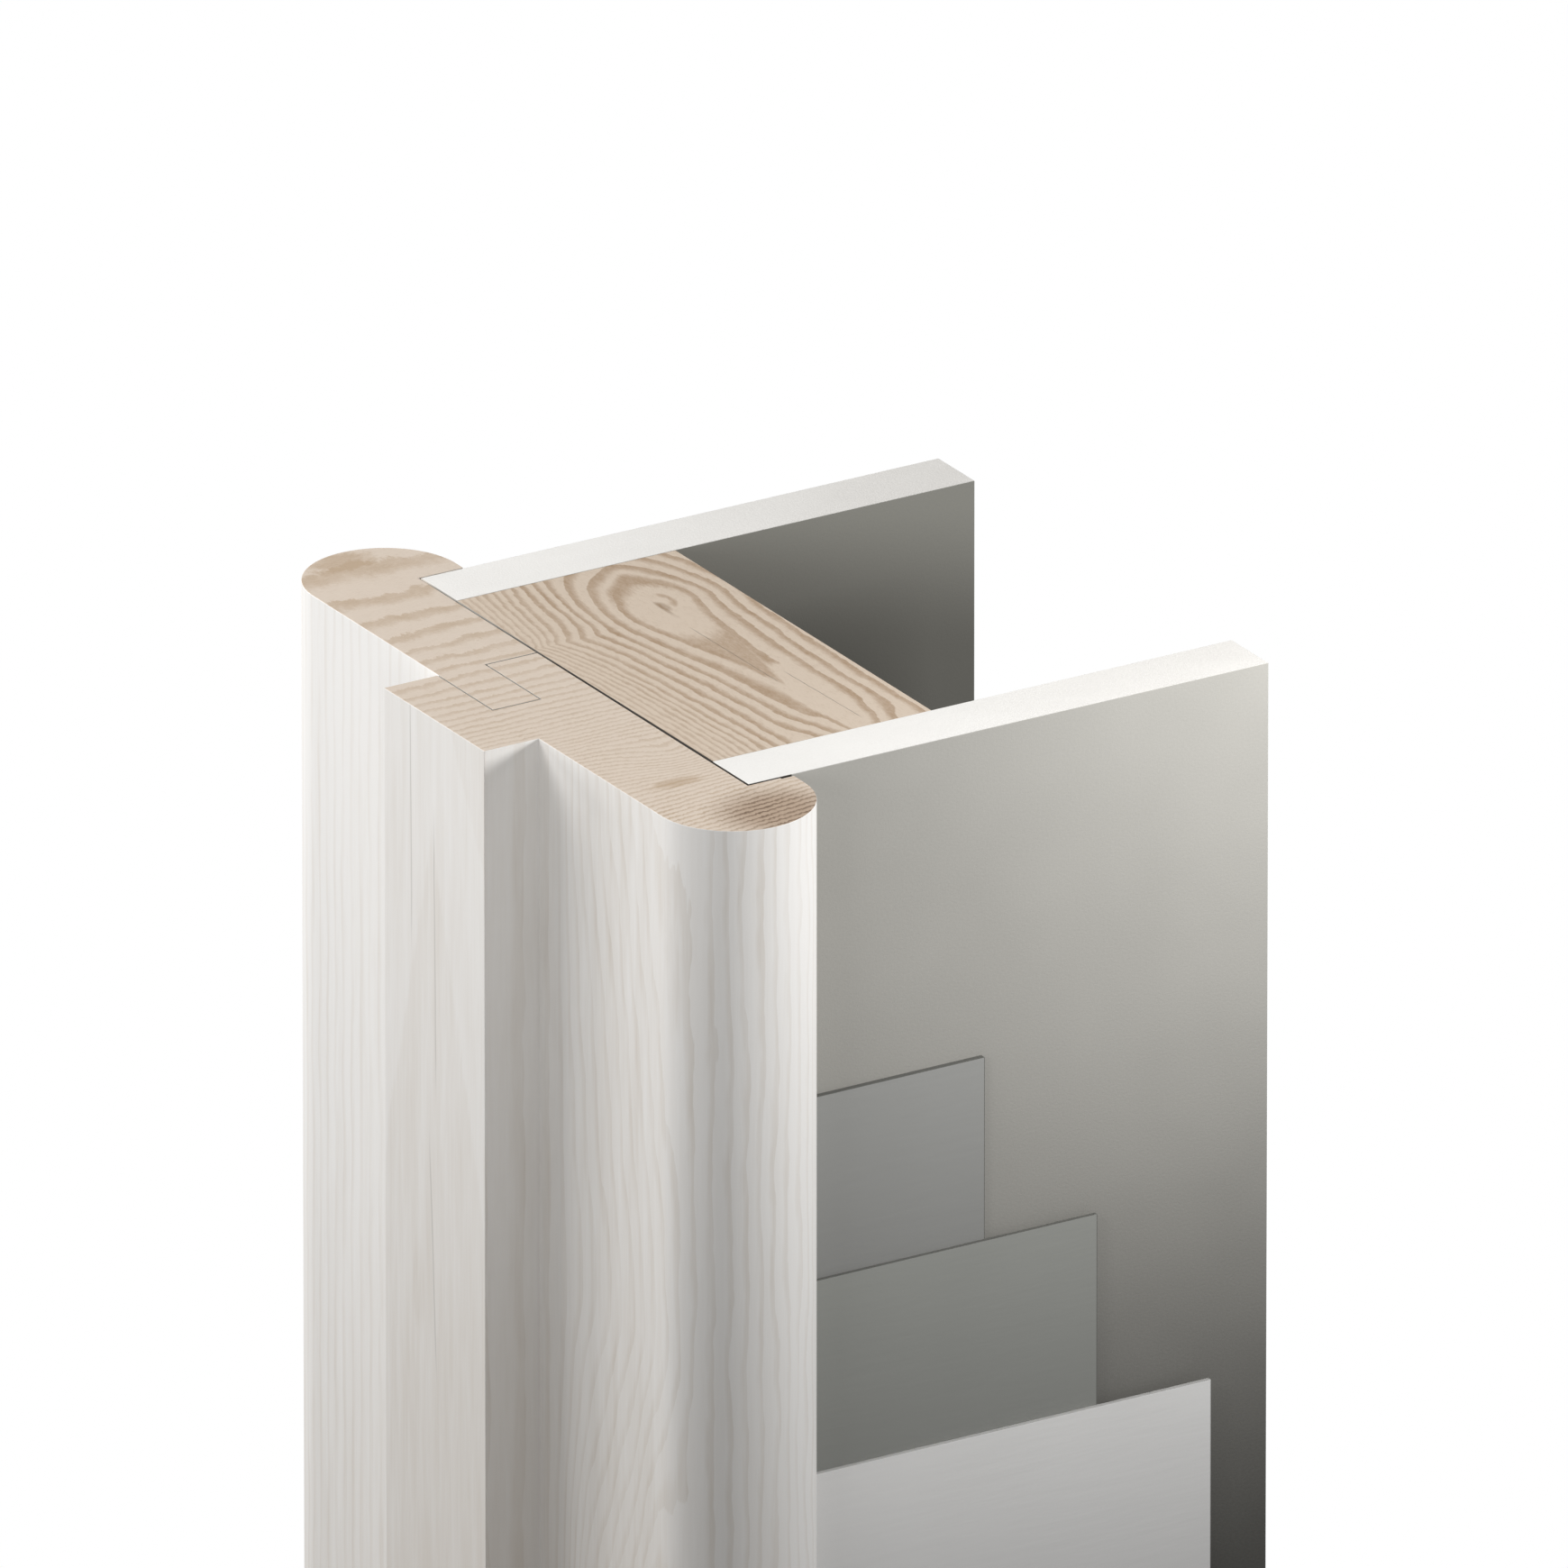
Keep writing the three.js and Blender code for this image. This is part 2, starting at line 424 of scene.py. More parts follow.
def jamb_end_material(colours):
    """Bare grain on the cut ends, the same over both halves."""
    pattern = Pattern("jamb end grain")
    x, y = pattern.x, pattern.y
    # The rings widen and grow more ragged from the middle of the jamb to the far nose.
    far_share = pattern.step(y, 45.0, 125.0)
    near_share = 1.0 - pattern.step(y, -6.0, 8.0)
    broad = pattern.grain((15.0, 16.0, 60.0), detail=1.0) * (0.3 + far_share * 2.2)
    ripple = pattern.grain((4.0, 6.0, 60.0), detail=3.0, roughness=0.65, shift=7.3)
    ripple = ripple * (0.6 + far_share * 1.6)
    jagged = pattern.grain((0.8, 1.6, 30.0), detail=3.0, roughness=0.75, shift=3.1)
    jagged = jagged * (0.55 + far_share * 0.6)
    swirl = distance_from(x, y, centre=(-4.0, 19.0), radii=(9.0, 8.0))
    swirl = (-swirl.power(2.0)).exponential() * 5.0
    slant = (x - NOSE_CENTRE) * 0.12 * (1.0 - pattern.step(y, -2.0, 14.0))
    across = y + broad + ripple + jagged + swirl - slant - far_share * 3.8
    # Up to widen_from the rings are even. Beyond it each is wider than the last, and if they went
    # on for ever there would be rings_beyond of them.
    widen_from, even_gap = 30.0, 1.6
    widening, rings_beyond = 36.0, 27.7
    far_rings = ((across.at_least(widen_from) - widen_from) / -widening).exponential() * -rings_beyond
    near_rings = (across.at_most(widen_from) - widen_from) / even_gap
    rings = far_rings + near_rings
    dark = late_wood(pattern, rings + 0.1, start=0.4, peak=0.78, end=0.9)
    # The contrast is strong at the noses and faint between, and comes and goes along a ring.
    fading = 0.75 + pattern.grain((7.0, 9.0, 40.0), detail=2.0, roughness=0.6, shift=15.0) * 0.35
    strength = (0.6 + far_share * 0.3 + near_share * 0.4) * fading
    # A dark patch lies in the far nose, and a smudge where the near half meets its nose.
    patch = distance_from(x, y, centre=(-8.5, 128.5), radii=(7.5, 4.6))
    patch = patch + pattern.grain((2.6, 2.2, 30.0), detail=4.0, roughness=0.65) * 0.5
    patch = 1.0 - pattern.step(patch, 0.5, 1.15)
    smudge = distance_from(x, y, centre=(-10.5, 7.5), radii=(5.5, 2.2))
    smudge = smudge + pattern.grain((3.0, 0.8, 30.0), detail=3.0) * 0.35
    smudge = 1.0 - pattern.step(smudge, 0.3, 1.3)
    mottle = pattern.grain((6.0, 3.0, 30.0), detail=4.0, roughness=0.7, shift=11.0) * 0.19
    fibre = pattern.grain((1.5, 0.35, 12.0), detail=4.0, roughness=0.8, shift=5.0) * 0.42
    amount = dark * strength + patch * 0.75 + smudge * 0.75 + mottle + fibre
    amount = amount.at_least(0.0).at_most(1.0)
    # The near nose is browner than the rest.
    brown = distance_from(x, y, centre=(-2.0, -13.0), radii=(11.0, 10.0)) + ripple * 0.04
    brown = 1.0 - pattern.step(brown, 0.4, 1.4)
    light = pattern.blend(brown, colours.timber_light, colours.nose_light)
    late = pattern.blend(brown, colours.timber_dark, colours.nose_dark)
    colour = pattern.blend(amount, light, late)
    dashes = pattern.grain((2.6, 0.36, 8.0), detail=1.0, shift=9.0)
    pores = pattern.step(dashes, 0.6, 0.9) * (0.1 + near_share * 0.7)
    colour = pattern.blend(pores, colour, colours.pore)
    return pattern.finish(colour, roughness=0.7 + amount * 0.1, height=dashes - fibre, bump=-0.03)


def perimeter(pattern):
    """Distance across the jamb's face, from the wall's near face, carried on round both noses."""
    y = pattern.y
    flat = y.at_least(NEAR_NOSE).at_most(FAR_NOSE)
    turn = pattern.math("ARCTAN2", y - flat, NOSE_CENTRE - pattern.x)
    return flat + turn * NOSE_RADIUS


def far_face_shade(pattern, wander, streaks):
    """How dark the far half's grain is: nearly upright lines that crowd towards the nose."""
    line_gap, crowding = 5.5, 420.0
    reach = perimeter(pattern) - STOP_FAR + wander * 0.5 + streaks * 0.12
    lines = reach / line_gap + reach * reach / crowding
    return late_wood(pattern, lines, start=0.5, peak=0.86, end=0.97) * 0.7


def near_face_shade(pattern, wander, streaks):
    """How dark the near half's grain is: lines that bend past a knot, and a cathedral on the stop."""
    bend_depth, bend_radius = 100.0, 4.0
    depth = pattern.depth - bend_depth
    bend = (depth * depth + bend_radius * bend_radius).power(0.5) - bend_radius
    beside_stop = (JAMB_FRONT - pattern.x).at_least(0.0)
    span = STOP_NEAR - perimeter(pattern) - beside_stop
    bent = pattern.step(span, 2.0, 18.0) * (1.0 - pattern.step(span, 38.0, 54.0))
    line_gap, crowding = 9.0, 640.0
    reach = span + wander + streaks * 0.25
    reach = reach + bend * bent * (0.13 + pattern.step(depth, 0.0, 16.0) * 0.2) + 11.0
    lines = reach / line_gap + reach * reach / crowding
    front = late_wood(pattern, lines, start=0.5, peak=0.86, end=0.97)
    front = front * (0.7 + pattern.step(span, 42.0, 52.0) * 0.6)
    # Painted shade: a broad band darkens the near front towards the near nose.
    front = front + between(pattern, span, 12.0, 46.0, soft=12.0) * 0.4
    # The stop's face has one broad cathedral, a dark corner and a scuffed patch.
    peak_y, peak_depth, opening = 56.4, 22.0, 0.25
    leg = (pattern.y - peak_y + wander * 0.3).size()
    cathedral = pattern.step((pattern.depth - peak_depth) * opening - leg + streaks * 1.3, -0.4, 0.8)
    corner_y, corner_slope = 50.4, 0.49
    corner = corner_y - pattern.depth * corner_slope - pattern.y + streaks * 1.1
    scuff = distance_from(pattern.y, pattern.depth, centre=(61.5, 113.0), radii=(2.6, 11.0))
    scuff = 1.0 - pattern.step(scuff + streaks * 0.5, 0.5, 1.0)
    stop = cathedral * 0.42 + pattern.step(corner, -0.4, 0.8) * 0.4 + scuff * 0.55 + 0.15
    on_stop = 1.0 - pattern.step(pattern.x, STOP_FRONT + 0.1, STOP_FRONT + 0.2)
    return front * (1.0 - on_stop) + stop * on_stop


def jamb_face_material(name, colours, face_shade, bare, cracks):
    """White wash on the upright faces, with the grain showing faintly through it.

    bare darkens the wash all over as painted shade; the near half has it and the far half doesn't. A crack
    has a place across, a first and a last depth, and a lean.
    """
    pattern = Pattern(name)
    depth = pattern.depth
    span = perimeter(pattern) - (JAMB_FRONT - pattern.x).at_least(0.0)
    # Each noise has its own length across the face and down it, and its own place.
    wander = pattern.combine(span / 8.0, 0.0, depth / 28.0)
    wander = pattern.noise_at(wander, detail=3.0) * 1.9
    streaks = pattern.combine(span / 0.8, 2.0, depth / 15.0)
    streaks = pattern.noise_at(streaks, detail=3.0, roughness=0.65)
    cloud = pattern.combine(span / 2.8, 8.0, depth / 48.0)
    cloud = pattern.noise_at(cloud, detail=3.0, roughness=0.6)
    lines = face_shade(pattern, wander, streaks) * (0.62 + cloud * 0.55).at_least(0.12)
    # Painted shade: the wash greys towards the foot, where less light falls.
    foot = pattern.step(depth, 60.0, 230.0)
    base = streaks * 0.12 + cloud * 0.24 + foot * 0.35 + bare
    # Painted highlight: the wash is drawn lighter, with fainter grain, where the noses turn back to the
    # wall.
    from_middle = (perimeter(pattern) - WALL_THICKNESS / 2).size()
    from_wall = from_middle - WALL_THICKNESS / 2
    painted_sheen = pattern.step(from_wall, 3.0, 16.0) * 0.45 + pattern.step(from_wall, 26.0, 34.0) * 0.45
    grain = lines * (1.0 - painted_sheen * 0.4) * 0.54 + base * (1.0 - painted_sheen)
    grain = grain.at_least(0.0).at_most(1.0)
    washed = pattern.blend(grain, colours.wash, colours.wash_grain)
    for across, first_depth, last_depth, lean in cracks:
        offset = pattern.y - across + wander * 0.1 + streaks * 0.06
        offset = (offset - (depth - first_depth) * lean).size()
        inside = pattern.step(depth, first_depth - 8.0, first_depth + 6.0)
        inside = inside * (1.0 - pattern.step(depth, last_depth - 12.0, last_depth))
        crack = (1.0 - pattern.step(offset, 0.08, 0.3)) * inside * 0.25
        washed = pattern.blend(crack, washed, colours.pore)
    washed = seams(pattern, colours, washed)
    return pattern.finish(washed, roughness=0.5 + grain * 0.12, height=streaks, bump=-0.008)


def stud_rings(pattern, ragged):
    """Which ring of the stud a point is on, and how far below the knot the point is.

    A ring is known by its distance from the knot's axis, level with the knot.
    """
    # The rings turn at level_left on the left of the knot's axis, and higher on its right.
    axis_x, level_left, level_rise = 30.3, 74.5, 6.5
    side = pattern.x - axis_x + pattern.grain((9.0, 13.0, 60.0), detail=2.0) * 0.7 + ragged
    right = pattern.step(side, -3.0, 3.0)
    level = level_left + right * level_rise
    above = (pattern.y - level).at_least(0.0)
    below = (level - pattern.y).at_least(0.0)
    away = side.size()
    # Above the knot the rings close over it, and those far to the left have a kink level with it.
    arch = above * (0.45 + right * (0.18 - pattern.step(above, 9.0, 17.0) * 0.1))
    reach = (away * away + arch * arch).power(0.5)
    kink = pattern.step(away, 11.0, 20.0) * (1.0 - right)
    reach = reach + kink * 2.8 * (1.0 - (above / -4.5).exponential())
    # Below the knot the inner rings run together, and the outer ones soon turn upright.
    guess = away + below * (0.15 - away * 0.002) - 11.5
    outer = guess.at_least(0.0)
    lean = guess.size() * 0.0195 + 0.15
    settle = (outer + 1.0) * 0.0037 + right * (outer * 0.006 + 0.019)
    # By the near board the innermost pair leans together again.
    foot = (24.0 - pattern.y).at_least(0.0) * 0.24 * (1.0 - pattern.step(away, 9.0, 13.0))
    return reach + below * lean / (below * settle + 1.0) + foot, below


def stud_end_material(colours):
    """The stud's cut ends, where the rings bend round a knot near the far board."""
    pattern = Pattern("stud end grain")
    x, y = pattern.x, pattern.y
    jagged = pattern.grain((0.8, 3.2, 30.0), detail=4.0, roughness=0.7, shift=6.0)
    reach, below = stud_rings(pattern, jagged * 0.5)
    # Past crowd_from the rings gradually stand closer together.
    ring_gap, crowd_from, gradual = 3.2, 26.0, 3.0
    crowd = reach - crowd_from
    crowd = crowd + (crowd * crowd + gradual * gradual).power(0.5)
    rings = (reach + 1.25) / ring_gap + crowd * 0.22
    outside_eye = pattern.step(reach + jagged * 0.6, 5.4, 7.0)
    # The innermost ring closes below the knot, and the next one stays open.
    tail = below + jagged * 1.6
    closed = pattern.step(tail, 33.0, 36.5) * (1.0 - pattern.step(reach, 9.0, 9.6))
    lines = late_wood(pattern, rings, start=0.34, peak=0.78, end=0.95) * outside_eye * (1.0 - closed)
    # The innermost ring is filled with dark wood on its lower side.
    mottle = pattern.grain((2.0, 3.4, 30.0), detail=4.0, roughness=0.75, shift=2.0)
    wedge_x, wedge_tip = 30.2, 37.0
    from_wedge = (x - wedge_x).size()
    wedge = (y - wedge_tip) * 0.2 - from_wedge + jagged * 0.5
    fill = pattern.step(wedge, -0.5, 0.6)
    hollow = y - from_wedge * 0.7 + jagged * 3.0 + mottle * 2.0
    fill = fill * (1.0 - pattern.step(hollow, 59.0, 66.0))
    # The knot itself has a dark ring on its right side, a core and a heart.
    eye = distance_from(x, y, centre=(32.3, 82.2), radii=(1.5, 2.9)) + jagged * 0.3
    eye_ring = 1.0 - pattern.step((eye - 0.85).size(), 0.1, 0.55)
    eye_ring = eye_ring * pattern.step(x, 31.6, 33.0)
    core = distance_from(x, y, centre=(30.7, 79.8), radii=(1.0, 2.4)) + jagged * 0.5
    core = 1.0 - pattern.step(core, 0.3, 1.3)
    heart = distance_from(x, y, centre=(30.1, 78.3), radii=(0.6, 4.6)) + jagged * 0.5
    heart = 1.0 - pattern.step(heart, 0.2, 1.2)
    fading = 0.86 + pattern.grain((4.0, 11.0, 40.0), detail=2.0, roughness=0.6, shift=15.0) * 0.25
    fade = (pattern.step(x, 0.0, 16.0) * 0.42 + 0.4) * fading
    fibre = pattern.grain((0.35, 1.5, 14.0), detail=4.0, roughness=0.8, shift=8.0) * 0.36
    collar = pattern.step(reach + jagged, 5.4, 7.2) * (1.0 - pattern.step(reach, 8.2, 9.2))
    collar = collar * pattern.step(y + jagged * 2.0, 80.0, 92.0)
    rings_shade = (lines * fade).math("MAXIMUM", fill * 0.62).math("MAXIMUM", collar * 0.72)
    amount = rings_shade + eye_ring * 0.6 + core * 0.5 + heart * 0.5
    amount = (amount + mottle * 0.26 + fibre).at_least(0.0).at_most(1.0)
    end_grain = pattern.blend(amount, colours.stud_light, colours.stud_dark)
    pores = pattern.grain((0.3, 1.7, 8.0), detail=1.0, shift=1.0)
    pores = pattern.step(pores, 0.75, 1.05) * (0.1 + lines * 0.25)
    marks = (pores + (core + heart).at_most(1.0) * 0.16).at_most(1.0)
    end_grain = pattern.blend(marks, end_grain, colours.pore)
    # Each crack has a place across, a top, a foot and a lean.
    cracks = ((29.5, 70.0, 37.0, -0.01), (33.2, 43.5, 15.5, -0.028))
    for across, high, low, lean in cracks:
        offset = (x - across - (y - high) * lean + jagged * 0.12).size()
        inside = pattern.step(y, low, low + 3.0) * (1.0 - pattern.step(y, high - 4.0, high))
        crack = (1.0 - pattern.step(offset, 0.03, 0.14)) * inside * 0.6
        end_grain = pattern.blend(crack, end_grain, colours.pore)
    end_grain = wall_end_seam(pattern, colours, end_grain)
    return pattern.finish(end_grain, roughness=0.68 + amount * 0.1, height=fibre, bump=-0.05)


def wall_end_seam(pattern, colours, colour):
    """Darkens the strip against the jamb with painted shade; the gap there opens towards the near board.
    """
    seam_width = 0.3 - pattern.step(pattern.y, 12.0, 80.0) * 0.16
    seam = 1.0 - pattern.step(pattern.x, seam_width - 0.05, seam_width)
    return pattern.blend(seam, colour, seam_shade_tone(pattern, colours))


def stud_face_material(colours):
    """The stud's upright faces, where the rings run as long lines and arches."""
    pattern = Pattern("stud face grain")
    # The log tapers and bends, so the rings open into long arches in the middle of a face.
    pith_x, pith_y, ring_gap = 30.0, 62.0, 2.7
    fibre = pattern.grain((0.4, 0.4, 12.0), detail=3.0, roughness=0.7)
    patch = pattern.grain((12.0, 9.0, 60.0), detail=2.0, shift=8.0)
    bend = pattern.grain((90.0, 90.0, 70.0), detail=2.0, roughness=0.4, shift=4.0)
    taper = pattern.depth * 0.05 + bend * 3.5
    away = pattern.x - pith_x + taper
    across = pattern.y - pith_y + pattern.grain((14.0, 14.0, 60.0), detail=2.0, shift=6.0) * 1.6
    reach = (away * away + across * across).power(0.5) + fibre * 0.12
    lines = late_wood(pattern, reach / ring_gap, start=0.25, peak=0.8, end=0.95)
    amount = lines * (0.6 + patch * 0.25) + fibre * 0.16 + patch * 0.1 + 0.06
    amount = amount.at_least(0.0).at_most(1.0)
    colour = pattern.blend(amount, colours.stud_light, colours.stud_dark)
    colour = wall_end_seam(pattern, colours, colour)
    return pattern.finish(colour, roughness=0.66 + amount * 0.12, height=fibre, bump=-0.03)


def board_edge_material(name, colours, low_y, face_y):
    """Chalky core on a board's cut edges, with the paper's thin edge on both sides."""
    pattern = Pattern(name)
    across = pattern.y - low_y
    core = between(pattern, across, 0.1, BOARD_THICKNESS - 0.1, soft=0.12)
    speck = pattern.grain((0.5, 0.5, 0.5), detail=3.0, roughness=0.7)
    cloud = pattern.grain((16.0, 9.0, 20.0), detail=2.0, shift=3.0)
    # Painted shade: the cut edges are drawn darker towards the board's right end, against the strong light
    # there.
    right_end_shade = pattern.step(pattern.x, 20.0, 105.0) * 0.55
    shade = (0.08 + right_end_shade + speck * 0.2 + cloud * 0.14).at_least(0.0).at_most(1.0)
    chalk = pattern.blend(shade, colours.board_core, colours.board_pit)
    paper_edge = pattern.blend(0.5, colours.board_core, colours.board_paper)
    colour = pattern.blend(core, paper_edge, chalk)
    # Painted shade: the cut edges are drawn dark where they meet the jamb's back and its lip.
    end_seam = 1.0 - pattern.step(pattern.x, 0.08, 0.16)
    lip_seam = 1.0 - pattern.step(pattern.x, LIP_BACK - 0.1, LIP_BACK)
    lip_seam = lip_seam * (1.0 - pattern.step((pattern.y - face_y).size(), 0.08, 0.16))
    seam = (end_seam + lip_seam).at_most(1.0)
    colour = pattern.blend(seam, colour, seam_shade_tone(pattern, colours))
    return pattern.finish(colour, roughness=0.88 + speck * 0.06, height=speck, bump=-0.03)


def board_paper_material(name, colours, back_y, foot_shade_amount):
    """Felted paper, greyed towards the foot by painted shade, and on the board's back at back_y darker,
    with painted shade deepening down the wall's cavity.
    """
    pattern = Pattern(name)
    felt = pattern.grain((0.7, 0.7, 0.45), detail=3.0, roughness=0.7, shift=1.0)
    stain = pattern.grain((30.0, 30.0, 26.0), detail=2.0, shift=5.0)
    # Painted shade: the paper greys towards the foot.
    foot = pattern.step(pattern.depth, 60.0, 200.0)
    shade = (foot * foot_shade_amount + 0.06 + felt * 0.05 + stain * 0.06).at_least(0.0).at_most(1.0)
    paper = pattern.blend(shade, colours.board_paper, colours.board_foot)
    # Painted shade: the back is drawn darker, and darker still deeper in the cavity.
    back = 1.0 - pattern.step((pattern.y - back_y).size(), 1.0, 1.5)
    cavity_shade = pattern.step(pattern.depth - (pattern.x - 110.0) * 0.3, 3.0, 34.0)
    shaded_back_paper = pattern.blend(cavity_shade, colours.board_back, colours.board_dusty)
    colour = pattern.blend(back, paper, shaded_back_paper)
    # Painted shade: the paper under the jamb's lip is drawn dark, as shade down the narrow slit.
    under_lip_shade = 1.0 - pattern.step(pattern.x, LIP_BACK - 0.1, LIP_BACK)
    colour = pattern.blend(under_lip_shade, colour, seam_shade_tone(pattern, colours))
    return pattern.finish(colour, roughness=0.82 + felt * 0.04, height=felt, bump=0.02)


def layer_material(name, face_colour, edge_and_shade_colour, top_depth, end_x, shift):
    """Smooth filler with faint trowel marks, greying towards the foot as painted shade, and the colour of
    its cut top and end, which is partly painted shade.
    """
    pattern = Pattern(name)
    cloud = pattern.grain((24.0, 24.0, 18.0), detail=3.0, shift=shift)
    marks = pattern.grain((14.0, 4.0, 1.6), detail=2.0, roughness=0.6, shift=shift + 3.0)
    dust = pattern.grain((0.5, 0.5, 0.5), detail=2.0, roughness=0.7, shift=shift + 5.0)
    shade = (0.45 + cloud * 0.3 + marks * 0.1 + dust * 0.12).at_least(0.0).at_most(1.0)
    # Painted shade: the face greys towards the foot, where less light falls.
    foot = pattern.step(pattern.depth, top_depth - 20.0, top_depth + 100.0)
    deeper = tuple(value * 0.92 for value in face_colour)
    foot_shade_colour = tuple(value * 0.64 for value in face_colour)
    face = pattern.blend(foot, pattern.blend(shade, face_colour, deeper), foot_shade_colour)
    # Painted shade: the top and end take the edge colour, which stands for the shade lines at the layers'
    # edges.
    top = 1.0 - pattern.step(pattern.depth, top_depth + 0.02, top_depth + 0.14)
    end = pattern.step(pattern.x, end_x - 0.24, end_x - 0.14)
    colour = pattern.blend((top + end).at_most(1.0), face, edge_and_shade_colour)
    return pattern.finish(colour, roughness=0.74 + shade * 0.12, height=marks, bump=0.015)


def eased_copy(node, piece_name, arris):
    """A copy of a CAD node as one clean mesh, with its outer edges eased, in the node's place."""
    merge_distance, flat_angle, corner_angle = 0.002 * MM, math.radians(0.4), math.radians(30)
    smooth_angle = bpy.context.scene.jamb_sizes.smooth_angle
    bm = bmesh.new()
    bm.from_mesh(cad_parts[node].data)
    bmesh.ops.remove_doubles(bm, verts=bm.verts, dist=merge_distance)
    bmesh.ops.dissolve_limit(bm, angle_limit=flat_angle, verts=bm.verts, edges=bm.edges)
    corners = [edge for edge in bm.edges if edge.calc_face_angle_signed(0.0) > corner_angle]
    bmesh.ops.bevel(bm, geom=corners, offset=arris, offset_type="OFFSET", affect="EDGES",
                    segments=2, profile=0.5, material=-1, clamp_overlap=True)
    bmesh.ops.recalc_face_normals(bm, faces=bm.faces)
    for face in bm.faces:
        face.smooth = True
    for edge in bm.edges:
        edge.smooth = edge.calc_face_angle(0.0) < smooth_angle
    mesh = bpy.data.meshes.new(piece_name)
    bm.to_mesh(mesh)
    bm.free()
    piece = bpy.data.objects.new(piece_name, mesh)
    bpy.context.scene.collection.objects.link(piece)
    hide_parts(node)
    return piece


def cut_across(normal):
    """Whether a face with this normal is a cut top or bottom."""
    return abs(normal.z) > FACING


def cut_edge(normal):
    """Whether a face with this normal is one of a wall board's four cut edges."""
    return abs(normal.y) < FACING


def dress(piece, face_finish, cut_finish, is_cut):
    """Gives a piece its place on the body, one finish on its faces and one where it is cut."""
    piece.data.materials.clear()
    piece.data.materials.append(face_finish)
    piece.data.materials.append(cut_finish)
    for polygon in piece.data.polygons:
        polygon.material_index = int(is_cut(polygon.normal))
    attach(piece, "root")


class SAMPLE_OT_jamb(bpy.types.Operator):
    """Makes both halves of the jamb, white washed, with bare cut ends"""

    bl_idname = "sample.jamb"
    bl_label = "Jamb Halves"

    def execute(self, context):
        colours = context.scene.jamb_colours
        arris = context.scene.jamb_sizes.timber_arris
        end_grain = jamb_end_material(colours)
        far = eased_copy("jamb_far_half", "far_half", arris)
        # The far half's wash has no painted shade from bare.
        far_finish = jamb_face_material("far half wash", colours, far_face_shade, bare=0.0, cracks=())
        dress(far, far_finish, end_grain, cut_across)
        near = eased_copy("jamb_near_half", "near_half", arris)
        # Three fine cracks in the stop's face
        cracks = ((64.0, 0.0, 50.0, -0.006), (55.8, 24.0, 76.0, -0.01), (57.5, 86.0, 132.0, -0.05))
        # bare paints shade over the near half's wash.
        near_finish = jamb_face_material("near half wash", colours, near_face_shade,
                                         bare=0.18, cracks=cracks)
        dress(near, near_finish, end_grain, cut_across)
        return {"FINISHED"}


class SAMPLE_OT_stud(bpy.types.Operator):
    """Makes the timber stud with its knot"""

    bl_idname = "sample.stud"
    bl_label = "Stud"

    def execute(self, context):
        colours = context.scene.jamb_colours
        stud = eased_copy("stud", "timber_stud", context.scene.jamb_sizes.timber_arris)
        dress(stud, stud_face_material(colours), stud_end_material(colours), cut_across)
        return {"FINISHED"}


class SAMPLE_OT_boards(bpy.types.Operator):
    """Makes both wall boards, with paper faces and a chalky core"""

    bl_idname = "sample.boards"
    bl_label = "Wall Boards"

    def execute(self, context):
        colours = context.scene.jamb_colours
        arris = context.scene.jamb_sizes.board_arris
        # How strongly painted shade greys each board's outer paper at its foot
        foot_shade_amounts = {"near": 0.9, "far": 0.3}
        for node in BOARD_NODES:
            side = node.rsplit("_", 1)[1]
            board = eased_copy(node, f"{side}_board", arris)
            low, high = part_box(node)
            low_y = (low.y - WALL_CORNER.y) / MM
            high_y = (high.y - WALL_CORNER.y) / MM
            back_y, face_y = (high_y, low_y) if side == "near" else (low_y, high_y)
            paper = board_paper_material(f"{side} board paper", colours, back_y, foot_shade_amounts[side])
            core = board_edge_material(f"{side} board core", colours, low_y, face_y)
            dress(board, paper, core, cut_edge)
        return {"FINISHED"}


class SAMPLE_OT_layers(bpy.types.Operator):
    """Makes the three finishing layers on the near board"""

    bl_idname = "sample.layers"
    bl_label = "Finishing Layers"

    def execute(self, context):
        colours = context.scene.jamb_colours
        arris = context.scene.jamb_sizes.layer_arris
        looks = (
            (colours.layer_first, colours.grey_edge_and_shade, "layer_grey"),
            (colours.layer_second, colours.grey_edge_and_shade, "layer_grey"),
            (colours.layer_third, colours.pale_edge_shade, "layer_pale"),
        )
        for index, (node, (face, edge, slot)) in enumerate(zip(LAYER_NODES, looks)):
            layer = eased_copy(node, node.replace("finish_", ""), arris)
            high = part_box(node)[1]
            top_depth, end_x = (WALL_CORNER.z - high.z) / MM, (high.x - WALL_CORNER.x) / MM
            finish = layer_material(layer.name.replace("_", " "), tuple(face), tuple(edge),
                                    top_depth, end_x, shift=10.0 * index)
            dress(layer, finish, finish, cut_across)
        return {"FINISHED"}


def soft_light(name, place, aim, width, power):
    """A square soft light, which is never seen itself.

    Its width is in millimetres, and its place and aim are in millimetres from the wall corner.
    """
    data = bpy.data.lights.new(name, "AREA")
    data.size = width * MM
    data.energy = power
    light = bpy.data.objects.new(name, data)
    light.visible_camera = False
    bpy.context.scene.collection.objects.link(light)
    start = WALL_CORNER + Vector(place) * MM
    target = WALL_CORNER + Vector(aim) * MM
    light.location = start
    light.rotation_mode = "QUATERNION"
    light.rotation_quaternion = (target - start).to_track_quat("-Z", "Y")


